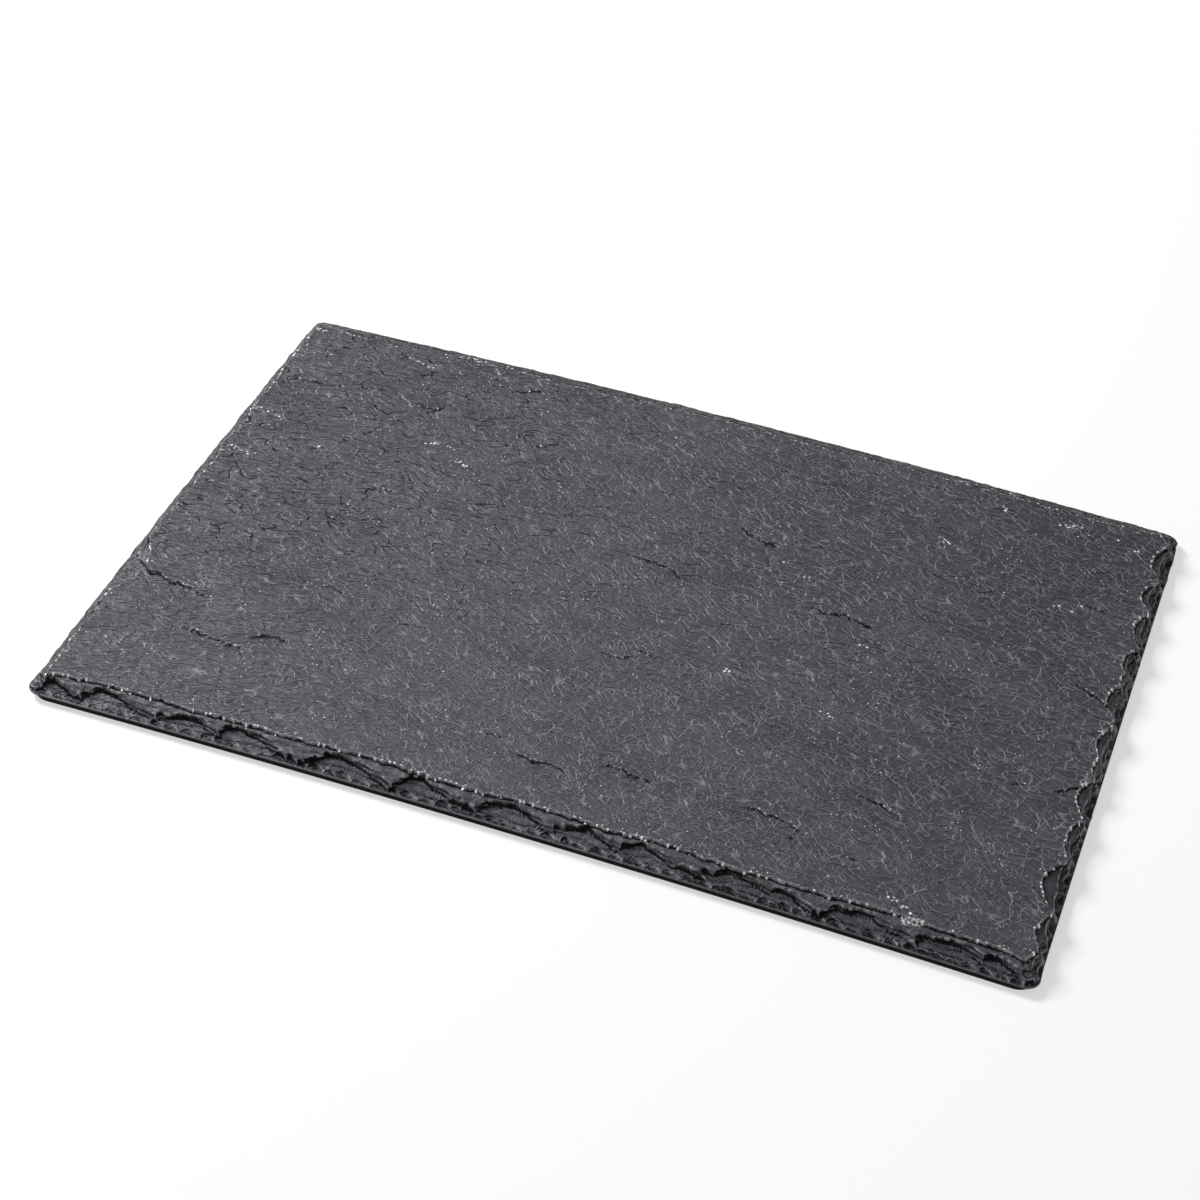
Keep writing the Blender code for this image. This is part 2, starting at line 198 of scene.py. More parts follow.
def a_colour(name, description, default):
    """Defines a colour that the user may change."""
    return bpy.props.FloatVectorProperty(name=name, description=description, default=default, size=3,
                                         subtype="COLOR")


class SlateSettings(bpy.types.PropertyGroup):
    """Sizes and colours of the stone."""
    net_step: a_length("Net step", "Spacing of the net over the middle of the top", 0.00175, min=0.001)
    fine_band: a_length("Fine band", "How far inward of the rim the net is three times finer", 0.0026)
    front_band: a_length("Front band", "Width of the band at the front, finer still", 0.0085)
    right_band: a_length("Right band", "Width of the band at the right, finer still", 0.0085)
    finest_slope: a_strength("Finest slope", "Slope from which the net there is finest", 1.15)
    outline_wander: a_share("Flake wander", "How unevenly the outlines of the flakes run", 0.13)
    outline_wear: a_length("Outline wear", "How far inward the outline is worn at most", 0.0006)
    arris_height: a_length("Arris height", "Height of the plain edge under the flakes", 0.0004)
    rim_step: a_length("Rim step", "Height of the broken step under the rim", 0.0007)
    rim_wander: a_length("Rim wander", "How far the rim wanders in and out", 0.00045)
    slope_power: a_strength("Slope fullness", "Less than 1 makes the foot of the bevel steeper", 0.62)
    layer: a_length("Layer", "Thickness of the cleavage layers", 0.00095)
    layer_share: a_share("Layer share", "How strongly the bevel steps along the layers", 0.28)
    swell: a_length("Swell", "Height of the slow swells of the top", 0.00016)
    dark: a_colour("Dark stone", "Darker colour of the stone", (0.0440, 0.0436, 0.0522))
    pale: a_colour("Pale stone", "Paler colour of the stone", (0.0795, 0.0785, 0.0940))
    # The wrinkle crests' colour is partly a painted highlight
    crest: a_colour("Wrinkle crests", "Colour of the crests of the fine wrinkles", (0.235, 0.235, 0.262))
    # Bruised stone also colours painted highlights on the crests and the rim
    pale_wear_and_highlight: a_colour("Bruised stone", "Colour of worn crests and struck edges", (0.36, 0.36, 0.38))
    # The glints are painted highlights
    glint: a_colour("Glint", "Colour of the mica glints", (0.85, 0.85, 0.88))


class BackingSettings(bpy.types.PropertyGroup):
    """Sizes and colours of the backing sheet."""
    inset: a_length("Inset", "How far the sheet's edge lies inside the slate's", 0.0004)
    corner: a_length("Corner radius", "Radius of the sheet's corners", 0.0065)
    softened: a_length("Softened edge", "Width of the rounding of its cut edges", 0.00015)
    black: a_colour("Foam", "Colour of the foam", (0.0040, 0.0040, 0.0044))
    worn: a_colour("Cut cells", "Colour of the cut cells at its edge", (0.0085, 0.0085, 0.0092))


class StageSettings(bpy.types.PropertyGroup):
    """The floor, lights and camera."""
    floor: a_colour("Floor", "Colour of the floor", (0.5, 0.5, 0.5))
    floor_glow: a_strength("Floor glow", "Strength of the even light that the white floor gives", 0.55)
    key_power: a_strength("Key light", "Power of the soft light at the back left", 24.0, unit="POWER")
    fill_power: a_strength("Fill light", "Power of the soft light at the front right", 1.0, unit="POWER")
    sky: a_strength("Sky", "Strength of the even white light all round", 0.22)
    lens: a_strength("Lens", "Focal length of the camera", 78.214, unit="CAMERA")
    camera_place: bpy.props.FloatVectorProperty(
        name="Camera place", description="Where the camera stands", default=(0.17935, -0.56419, 0.52698),
        size=3, unit="LENGTH")
    camera_turn: bpy.props.FloatVectorProperty(
        name="Camera turn", description="How the camera is turned", size=3, subtype="EULER",
        default=[math.radians(angle) for angle in (48.537, -2.041, 20.309)])


def noise(x, y, lump, seed):
    """Returns smooth noise from -1 to 1, with lumps of about the given size."""
    lattice = np.random.default_rng(seed).uniform(-1, 1, (LATTICE, LATTICE))
    u, v = x / lump + LATTICE_SHIFT, y / lump + LATTICE_SHIFT
    i, j = np.floor(u).astype(int), np.floor(v).astype(int)
    a, b = u - i, v - j
    a, b = a * a * (3 - 2 * a), b * b * (3 - 2 * b)
    i, j = i % (LATTICE - 1), j % (LATTICE - 1)
    low = lattice[i, j] * (1 - a) + lattice[i + 1, j] * a
    high = lattice[i, j + 1] * (1 - a) + lattice[i + 1, j + 1] * a
    return low * (1 - b) + high * b


def edge_distance(x, y, radius):
    """Returns how far points lie inside the straight rounded rectangle."""
    from_x, from_y = LENGTH / 2 - abs(x), WIDTH / 2 - abs(y)
    rounded = radius - np.hypot(np.maximum(radius - from_x, 0), np.maximum(radius - from_y, 0))
    return np.where((from_x < radius) & (from_y < radius), rounded, np.minimum(from_x, from_y))


def round_corner(x, y, radius):
    """Bends the square corners of the plan to quarter circles of the given radius."""
    over_x = np.maximum(abs(x) - (LENGTH / 2 - radius), 0) / radius
    over_y = np.maximum(abs(y) - (WIDTH / 2 - radius), 0) / radius
    shift_x = radius * over_x * (np.sqrt(1 - over_y ** 2 / 2) - 1)
    shift_y = radius * over_y * (np.sqrt(1 - over_x ** 2 / 2) - 1)
    return x + np.sign(x) * shift_x, y + np.sign(y) * shift_y


def bow(x, y):
    """Lays the bow of the four sides over the straight plan, and centres the outline's box."""
    u, v = x / (LENGTH / 2), y / (WIDTH / 2)
    out_x = (1 - v ** 2) * (BOW_RIGHT * (1 + u) - BOW_LEFT * (1 - u)) / 2
    out_y = (1 - u ** 2) * (BOW_BACK * (1 + v) - BOW_FRONT * (1 - v)) / 2
    centre_x = (max(BOW_RIGHT, 0) - max(BOW_LEFT, 0)) / 2
    centre_y = (max(BOW_BACK, 0) - max(BOW_FRONT, 0)) / 2
    return x + out_x - centre_x, y + out_y - centre_y


def worn_outline(x, y, wear):
    """Moves the outline inward here and there, by at most the given wear, but not along the front."""
    uneven = 0.5 + 0.3 * noise(x, y, 0.0052, SEED + 70) + 0.2 * noise(x, y, 0.0017, SEED + 71)
    near = np.clip(1 - edge_distance(x, y, CORNER_RADIUS) / OUTLINE_FADE, 0, 1)
    off_front = np.clip((y + WIDTH / 2) / OUTLINE_FADE - 1, 0, 1)
    share = 1 - 2 * wear * uneven * near * off_front / WIDTH
    return x * share, y * share


def along_side(side, x, y):
    """Returns the place along a side, and the distance inward from it, of points of the plan."""
    from_x, from_y = x - side.start[0], y - side.start[1]
    return [from_x * way[0] + from_y * way[1] for way in (side.along, side.inward)]


def bevel_run(x, y, wander):
    """Returns how wide the bevel is for each point, from the bays and points of the nearest sides."""
    total, weights = 0, 0
    for number, (name, side) in enumerate(SIDES.items()):
        along, inward = along_side(side, x, y)
        run = side.run + 0.35 * wander * noise(along, inward, 0.011, SEED + number)
        for place, width, reach in BAYS[name]:
            across = np.clip(2 * (along - place * MM) / (width * MM), -1, 1)
            run = np.maximum(run, side.run + (reach * MM - side.run) * (1 - across ** 2))
        run = run + wander * noise(along, inward, 0.0028, SEED + 10 + number)
        run = run + 0.35 * wander * noise(along, inward, 0.0011, SEED + 14 + number)
        weight = (np.maximum(inward, 0) + 0.0003) ** -4
        total, weights = total + run * weight, weights + weight
    return total / weights


def side_flakes(side, places, depth, lean):
    """Makes the flakes of one side from places along it with their widths and reaches, in mm."""
    for place, width, reach in places:
        at = [side.start[k] + side.along[k] * place * MM for k in (0, 1)]
        yield Flake(at, side.inward, width * MM, reach * MM, depth * MM, lean)


def strewn(rng, length, spacing, width, reach):
    """Lists uneven places along a side, each with a width and a reach, in mm."""
    places, at = [], rng.uniform(0.3, 0.7) * spacing
    while at < length / MM:
        places.append((at, rng.uniform(*width), rng.uniform(*reach)))
        at += spacing * rng.uniform(0.65, 1.35)
    return places


def strewn_flakes(rng, kinds, lean):
    """Makes the flakes strewn along each side named, from their spacing, widths, reaches and depth."""
    flakes = []
    for name, spacing, width, reach, depth in kinds:
        places = strewn(rng, SIDES[name].length, spacing, width, reach)
        flakes += side_flakes(SIDES[name], places, depth, lean)
    return flakes


def scoops():
    """Returns the large scoops of all sides."""
    kinds = (("right", 9, (9, 15), (2.6, 4.0), 1.1), ("back", 24, (22, 38), (3.9, 5.9), 0.85),
             ("left", 15, (13, 22), (2.4, 3.4), 0.7))
    flakes = list(side_flakes(SIDES["front"], FRONT_SCOOPS, 1.6, -0.8))
    flakes += strewn_flakes(np.random.default_rng(SEED), kinds, -0.3)
    for sign_x in (-1, 1):
        for sign_y in (-1, 1):
            middle = (sign_x * (LENGTH / 2 - CORNER_RADIUS), sign_y * (WIDTH / 2 - CORNER_RADIUS))
            inward = (-sign_x * math.sqrt(0.5), -sign_y * math.sqrt(0.5))
            at = [middle[k] - CORNER_RADIUS * inward[k] for k in (0, 1)]
            flakes.append(Flake(at, inward, *CORNER_SCOOP))
    return flakes


def chips():
    """Returns the small chips that line the foot of the bevel."""
    width = (3.6, 6.2)
    kinds = (("front", 4.4, width, (1.5, 2.8), 1.05), ("right", 5.0, width, (1.1, 2.4), 0.9),
             ("back", 9, width, (0.9, 1.8), 0.5), ("left", 5.5, width, (1.0, 2.0), 0.5))
    return strewn_flakes(np.random.default_rng(SEED + 1), kinds, -0.5)


def splinters():
    """Returns the smallest chips, which nibble the foot between the others."""
    spacings = (("front", 2.1), ("right", 2.6), ("back", 5.0), ("left", 3.0))
    kinds = [(name, spacing, (1.6, 3.2), (0.5, 1.5), 0.30) for name, spacing in spacings]
    return strewn_flakes(np.random.default_rng(SEED + 2), kinds, -0.6)


# A flake's end wall: its width, its share of the depth, and how much wider it is at the flake's gentle side
FLAKE_WALL = 0.0005
WALL_SHARE = 0.66
GENTLE_SIDE = 4.0


def cut_depth(x, y, flakes, wander, ripple=0.0):
    """Returns how deep the deepest flake cuts at each point: a rippled bowl with a steep end wall."""
    deepest = np.zeros_like(x)
    for number, flake in enumerate(flakes):
        from_x, from_y = x - flake.at[0], y - flake.at[1]
        near = np.nonzero(np.hypot(from_x, from_y) < flake.width + flake.reach)[0]
        from_x, from_y = from_x[near], from_y[near]
        inward = from_x * flake.inward[0] + from_y * flake.inward[1]
        across = -from_x * flake.inward[1] + from_y * flake.inward[0] + flake.lean * inward
        spread = np.hypot(2 * across / flake.width, inward / flake.reach)
        spread = spread * (1 + wander * noise(x[near], y[near], 0.0031, SEED + 60 + number % 7))
        gentle = 1 + GENTLE_SIDE * np.clip(-2 * across / flake.width, 0, 1)
        wall = np.clip((1 - spread) * flake.reach / (FLAKE_WALL * gentle), 0, 1)
        round_part = np.sqrt(np.clip(1 - spread ** 2, 0, 1))
        bowl = flake.depth * (WALL_SHARE * wall + (1 - WALL_SHARE) * round_part)
        fan = np.arctan2(across, inward + 0.3 * flake.reach)
        hackle = ripple * wall * np.sin(34 * fan + 5 * np.sin(7 * fan + number)) * np.clip(spread, 0, 1)
        deepest[near] = np.maximum(deepest[near], bowl + hackle)
    return deepest


def layered(height, x, y, layer, share):
    """Returns heights drawn towards the cleavage layers, whose broken edges step down the bevel."""
    level = height / layer + 0.5 * noise(x, y, 0.014, SEED + 30) + 0.2 * noise(x, y, 0.004, SEED + 31)
    tread = np.floor(level)
    stepped = tread + np.clip(3 * (level - tread) - 1, 0, 1)
    return height + share * layer * (stepped - level)


# The width of a ledge's step, and how far beyond it the lowered ground comes back to the level
LEDGE_EDGE = 0.0004
LEDGE_FADE = 0.016


def beside_line(x, y, points):
    """Returns how far points lie to the right of a line of runs, how far from it, and where along it."""
    points = np.array(points) * MM
    lengths = np.hypot(*np.diff(points, axis=0).T)
    nearest, side, place = np.full(x.shape, np.inf), np.zeros_like(x), np.zeros_like(x)
    so_far = 0.0
    for start, end, length in zip(points, points[1:], lengths):
        from_x, from_y = x - start[0], y - start[1]
        along = (from_x * (end[0] - start[0]) + from_y * (end[1] - start[1])) / length
        right = (from_x * (end[1] - start[1]) - from_y * (end[0] - start[0])) / length
        away = np.hypot(right, along - np.clip(along, 0, length))
        closer = away < nearest
        nearest[closer], side[closer] = away[closer], right[closer]
        place[closer] = ((so_far + np.clip(along, 0, length)) / lengths.sum())[closer]
        so_far += length
    return side, nearest, place


def near_line(x, y, points, reach):
    """Returns which points lie within reach of the box round a line."""
    low, high = np.min(points, axis=0) * MM - reach, np.max(points, axis=0) * MM + reach
    return np.nonzero((x > low[0]) & (x < high[0]) & (y > low[1]) & (y < high[1]))[0]


def ledges(x, y):
    """Returns how far the ledges lower the top, the distance beyond the nearest, and how open it is."""
    total, beyond, opened = np.zeros_like(x), np.full(x.shape, LEDGE_FADE), np.zeros_like(x)
    jagged_x = x + 0.0006 * noise(x, y, 0.0021, SEED + 40) + 0.0002 * noise(x, y, 0.0008, SEED + 42)
    jagged_y = y + 0.0006 * noise(x, y, 0.0021, SEED + 41) + 0.0002 * noise(x, y, 0.0008, SEED + 43)
    for drop, points in LEDGES + CLEFTS:
        near = near_line(x, y, points, LEDGE_FADE)
        side, away, place = beside_line(jagged_x[near], jagged_y[near], points)
        taper = np.clip(5 * place, 0, 1) * np.clip(5 * (1 - place), 0, 1)
        fade = np.clip(1 - away / LEDGE_FADE, 0, 1) ** 2
        total[near] += drop * MM * taper * fade * np.clip(side / LEDGE_EDGE, 0, 1)
        closer = away < abs(beyond[near])
        beyond[near[closer]] = (np.sign(side) * away)[closer]
        opened[near[closer]] = taper[closer]
    return total, beyond, opened


def row_closeness(x, y, rows, reach):
    """Returns how close points lie to rows of points, from 0 at the given reach to 1."""
    closeness = np.zeros_like(x)
    for points in rows:
        near = near_line(x, y, points, reach)
        closeness[near] = np.maximum(closeness[near], 1 - beside_line(x[near], y[near], points)[1] / reach)
    return closeness


# Heights of the finest relief: ripples in the scoops and the chips, lesser swells, and two sizes of grit
SCOOP_RIPPLE = 0.00008
CHIP_RIPPLE = 0.00004
LESSER_SWELL = 0.00004
GRIT = 0.00003
FINE_GRIT = 0.00002

# How far inward the scoops reach their full depth, and how steeply the foot rises at the least
SCOOP_START = 0.0022
LEAST_RISE = 0.05


def surface(x, y, stone, backing_top):
    """Returns the height of the stone's upper surface, and the distance inward of the rim."""
    foot = backing_top + stone.arris_height
    drop = ledges(x, y)[0]
    top = SLATE_BOX[1].z + stone.swell * (noise(x, y, 0.045, SEED + 20) - 1) - drop
    top = top + LESSER_SWELL * (noise(x, y, 0.009, SEED + 21) - 1)
    inside = edge_distance(x, y, CORNER_RADIUS)
    run = bevel_run(x, y, stone.rim_wander)
    share = np.clip(inside / run, 0, 1)
    slope = foot + (top - stone.rim_step - foot) * share ** stone.slope_power
    scooped = cut_depth(x, y, scoops(), stone.outline_wander, SCOOP_RIPPLE)
    slope = slope - scooped * np.clip(inside / SCOOP_START, 0, 1)
    slope = slope - cut_depth(x, y, chips(), stone.outline_wander, CHIP_RIPPLE)
    slope = slope - cut_depth(x, y, splinters(), stone.outline_wander)
    slope = layered(slope, x, y, stone.layer, stone.layer_share)
    slope = slope + GRIT * noise(x, y, 0.0012, SEED + 50) + FINE_GRIT * noise(x, y, 0.0006, SEED + 51)
    slope = np.maximum(slope, foot + LEAST_RISE * np.maximum(inside, 0))
    return np.where(inside < run, np.minimum(slope, top), top), inside - run


def relief(x, y, stone, backing_top):
    """Returns the height, the distance inward of the rim, both slopes, and how far a point stands out."""
    reach = 0.0004
    z, from_rim = surface(x, y, stone, backing_top)
    west, east, south, north = [surface(x + a * reach, y + b * reach, stone, backing_top)[0]
                                for a, b in ((-1, 0), (1, 0), (0, -1), (0, 1))]
    inside = edge_distance(x, y, CORNER_RADIUS) > reach
    slope_x, slope_y = [np.where(inside, rise / (2 * reach), 0) for rise in (east - west, north - south)]
    return z, from_rim, slope_x, slope_y, np.where(inside, z - (west + east + south + north) / 4, 0)


def node(kind, inputs, **options):
    """Adds a node to the tree of the sockets that feed it, and sets or links its inputs."""
    tree = next(value.id_data for value in inputs.values() if isinstance(value, bpy.types.NodeSocket))
    new = tree.nodes.new(kind)
    for name, value in options.items():
        setattr(new, name, value)
    for name, value in inputs.items():
        if isinstance(value, bpy.types.NodeSocket):
            tree.links.new(value, new.inputs[name])
        else:
            new.inputs[name].default_value = value
    return new


def maths(operation, a, b=0.0, c=0.0):
    """Adds a Math node and returns its output."""
    return node("ShaderNodeMath", {0: a, 1: b, 2: c}, operation=operation).outputs[0]


def times(product, *others):
    """Multiplies values."""
    for value in others:
        product = maths("MULTIPLY", product, value)
    return product


def most(greatest, *others):
    """Returns the greatest of several values."""
    for value in others:
        greatest = maths("MAXIMUM", greatest, value)
    return greatest


def weighted(*pairs):
    """Adds up values, each times its weight."""
    total = 0.0
    for value, weight in pairs:
        total = maths("MULTIPLY_ADD", value, weight, total)
    return total


def ramp(value, low, high, to_low=0.0, to_high=1.0):
    """Eases a value from one range to another."""
    inputs = {"Value": value, "From Min": low, "From Max": high, "To Min": to_low, "To Max": to_high}
    return node("ShaderNodeMapRange", inputs, interpolation_type="SMOOTHSTEP").outputs[0]


def band(value, middle, near, far, height=1.0):
    """Gives the height where a value is within near of the middle, easing to 0 where it is far from it."""
    away = maths("ABSOLUTE", maths("SUBTRACT", value, middle))
    return ramp(away, near, far, height, 0.0)


def vectors(operation, *inputs):
    """Adds a Vector Math node and returns its output."""
    return node("ShaderNodeVectorMath", dict(enumerate(inputs)), operation=operation).outputs[0]


def turned(place, angle):
    """Turns a place about the upright axis."""
    inputs = {"Vector": place, "Angle": angle}
    return node("ShaderNodeVectorRotate", inputs, rotation_type="Z_AXIS").outputs[0]


def soft_noise(place, lump, detail=2.0, output="Fac"):
    """Returns a noise from 0 to 1 with lumps of the given size, or its three parts as a Color."""
    inputs = {"Vector": place, "Scale": 1.0 / lump, "Detail": detail}
    return node("ShaderNodeTexNoise", inputs, noise_dimensions="2D").outputs[output]


def streaks(place, long_side, short_side, detail=2.0):
    """Returns a noise from 0 to 1 whose lumps are drawn out to the given sizes in mm."""
    return soft_noise(vectors("MULTIPLY", place, (1 / long_side, 1 / short_side, 1.0)), 1.0, detail)


def cell_pattern(place, scale=1.0, feature="F1"):
    """Returns the outputs of a flat pattern of cells."""
    inputs = {"Vector": place, "Scale": scale}
    return node("ShaderNodeTexVoronoi", inputs, voronoi_dimensions="2D", feature=feature).outputs


def blend(amount, a, b):
    """Mixes two colours and returns the result."""
    return node("ShaderNodeMix", {0: amount, 6: a, 7: b}, data_type="RGBA").outputs[2]


def new_group(name, **inputs):
    """Starts a shader node group and returns it with its inputs: a vector for None, otherwise a number."""
    tree = bpy.data.node_groups.new(name, "ShaderNodeTree")
    for label, default in inputs.items():
        kind = "NodeSocketVector" if default is None else "NodeSocketFloat"
        socket = tree.interface.new_socket(label, in_out="INPUT", socket_type=kind)
        if default is not None:
            socket.default_value = default
    given = tree.nodes.new("NodeGroupInput").outputs
    return tree, [given[label] for label in inputs]


def end_group(tree, **outputs):
    """Gives a shader node group its named outputs, and returns the group."""
    for label in outputs:
        tree.interface.new_socket(label, in_out="OUTPUT", socket_type="NodeSocketFloat")
    result = tree.nodes.new("NodeGroupOutput")
    for label, value in outputs.items():
        tree.links.new(value, result.inputs[label])
    return tree


def wrinkle_group():
    """Curved raised wrinkles of even width: the walls of a curled pattern of cells, with gaps."""
    tree, (place, turn, stretch, spacing, thickness, breaks, curl, apart) = new_group(
        "Wrinkles", Place=None, Turn=0.0, Stretch=1.0, Spacing=2.0, Thickness=0.1, Breaks=0.5, Curl=1.0,
        Apart=0.0)
    finer = maths("DIVIDE", 1.0, spacing)
    squeeze = node("ShaderNodeCombineXYZ", {0: maths("DIVIDE", finer, stretch), 1: finer, 2: finer})
    drawn = vectors("MULTIPLY_ADD", turned(place, turn), squeeze.outputs[0], apart)
    curled = soft_noise(drawn, CURL_LUMP, 0.0, "Color")
    curled = vectors("MULTIPLY_ADD", curled, curl, drawn)
    cells = cell_pattern(curled, feature="DISTANCE_TO_EDGE")
    line = ramp(cells["Distance"], 0.0, thickness, 1.0, 0.0)
    low = maths("SUBTRACT", breaks, 0.05)
    high = maths("ADD", breaks, 0.07)
    kept = ramp(soft_noise(drawn, PATCH_LUMP, 1.0), low, high)
    return end_group(tree, Ridge=times(line, kept))


def stroke_group():
    """Short bent strokes, one in each cell of a stretched pattern, each with a hollow on its right that
    also marks painted shade.
    """
    tree, (place, direction, stretch, spacing, length, width, spread, bend, share, apart) = new_group(
        "Strokes", Place=None, Direction=0.0, Stretch=1.0, Spacing=2.5, Length=3.5, Width=0.26, Spread=1.0,
        Bend=0.4, Share=0.8, Apart=0.0)
    lying = turned(place, times(direction, -1.0))
    cell = node("ShaderNodeCombineXYZ", {0: times(spacing, stretch), 1: spacing, 2: 1.0}).outputs[0]
    drawn = vectors("ADD", vectors("DIVIDE", lying, cell), apart)
    cells = cell_pattern(drawn)
    local = vectors("MULTIPLY", vectors("SUBTRACT", drawn, cells["Position"]), cell)
    draw = node("ShaderNodeSeparateColor", {0: cells["Color"]}).outputs
    jitter = times(maths("SUBTRACT", draw[1], 0.5), spread)
    along, across, _ = node("ShaderNodeSeparateXYZ", {0: turned(local, jitter)}).outputs
    bowed = times(maths("SUBTRACT", draw[2], 0.5), bend)
    across = maths("MULTIPLY_ADD", times(along, along), bowed, across)
    line = band(across, 0.0, 0.0, width)
    # This hollow is a dip in the bump and also marks painted shade
    hollow = band(maths("MULTIPLY_ADD", width, 1.5, across), 0.0, 0.0, width)
    ends = band(along, 0.0, times(length, 0.28), times(length, 0.5))
    kept = times(ends, maths("LESS_THAN", draw[0], share))
    return end_group(tree, Ridge=times(line, kept), Hollow=times(hollow, kept))


def glint_group():
    """Tiny scattered glints: the middles of some cells of a pattern."""
    tree, (place, spacing, size, share) = new_group("Glints", Place=None, Spacing=2.0, Size=0.1, Share=0.1)
    cells = cell_pattern(place, maths("DIVIDE", 1.0, spacing))
    dot = ramp(cells["Distance"], times(size, 0.5), size, 1.0, 0.0)
    draw = node("ShaderNodeSeparateColor", {0: cells["Color"]}).outputs[0]
    return end_group(tree, Glint=times(dot, maths("LESS_THAN", draw, share)))


def grain_group():
    """Even fine grain, for the stone's crystals and the foam's cells."""
    tree, (place, size) = new_group("Grain", Place=None, Size=0.3)
    inputs = {"Vector": place, "Scale": maths("DIVIDE", 1.0, size), "Detail": 3.0, "Roughness": 0.65}
    return end_group(tree, Grain=node("ShaderNodeTexNoise", inputs).outputs[0])


def group_node(group, *inputs, **named_inputs):
    """Places a node group with its inputs in order or by name, and returns its output or a list of them."""
    inputs = dict(enumerate(inputs)) | {name.capitalize(): value for name, value in named_inputs.items()}
    outputs = node("ShaderNodeGroup", inputs, node_tree=group).outputs
    return outputs[0] if len(outputs) == 1 else list(outputs)


def millimetres(tree):
    """Returns the place on the piece, in millimetres."""
    place = tree.nodes.new("ShaderNodeTexCoord").outputs["Object"]
    return node("ShaderNodeVectorMath", {0: place, "Scale": 1 / MM}, operation="SCALE").outputs[0]


def attribute(tree, name):
    """Returns a value stored on the mesh's points."""
    source = tree.nodes.new("ShaderNodeAttribute")
    source.attribute_name, source.attribute_type = name, "GEOMETRY"
    return source.outputs["Fac"]


def start_material(name):
    """Makes a node material and returns it with its tree and its shader."""
    material = bpy.data.materials.new(name)
    material.use_nodes = True
    return material, material.node_tree, material.node_tree.nodes["Principled BSDF"]


def finish_shader(tree, shader, base, roughness, height):
    """Gives a shader its colour, its roughness, and a bump whose height is in mm."""
    tree.links.new(base, shader.inputs["Base Color"])
    tree.links.new(roughness, shader.inputs["Roughness"])
    bump = node("ShaderNodeBump", {"Height": times(height, MM), "Strength": 1.0, "Distance": 1.0})
    tree.links.new(bump.outputs[0], shader.inputs["Normal"])


def stone_wrinkles(groups, place, bent, rightness, leftness):
    """Returns the ridges of the fine wrinkles and the hollows beside them, whose colour is painted shade.
    """
    ridge, beside = 0.0, 0.0
    crossing = ramp(rightness, 0.0, 1.0, 0.35, 0.75)
    for (direction, *numbers), weight in zip(STROKES, (leftness, rightness, crossing)):
        strokes, hollows = group_node(groups["Strokes"], bent, math.radians(direction), *numbers)
        ridge = most(ridge, times(strokes, weight))
        beside = most(beside, times(hollows, weight))
    for turn, *numbers, weight in WRINKLES:
        wrinkles = group_node(groups["Wrinkles"], bent, math.radians(turn), *numbers)
        ridge = most(ridge, times(wrinkles, weight))

    # Near the front right corner the wrinkles close up to a net of small cells
    from_net = vectors("SUBTRACT", place, NET_MIDDLE)
    from_net = vectors("MULTIPLY", from_net, (1 / NET_SIZE[0], 1 / NET_SIZE[1], 0.0))
    from_net = node("ShaderNodeVectorMath", {0: from_net}, operation="LENGTH").outputs["Value"]
    netted = maths("MULTIPLY_ADD", soft_noise(place, 9), 0.8, from_net)
    netted = ramp(netted, 0.9, 1.5, 1.0, 0.0)
    net_line = group_node(groups["Wrinkles"], place=bent, turn=0.3, stretch=1.25, spacing=4.4,
                          thickness=0.055, breaks=0.28, curl=0.7, apart=83.9)
    ridge = times(ridge, ramp(netted, 0.0, 1.0, 1.0, 0.40))
    return most(ridge, times(net_line, ramp(netted, 0.0, 1.0, 0.0, 0.95))), beside


def creased_swells(bent, rightness, leftness):
    """Returns the height of the low creased swells, which run the same way as the wrinkles."""
    creases = []
    for direction, long_side, short_side in SWELLS:
        lying = turned(bent, math.radians(-direction))
        lumps = maths("MULTIPLY_ADD", streaks(lying, long_side, short_side, 1.0), 2.0, -1.0)
        creases.append(maths("POWER", maths("ABSOLUTE", lumps), 0.7))
    return weighted((creases[0], leftness), (creases[1], rightness))


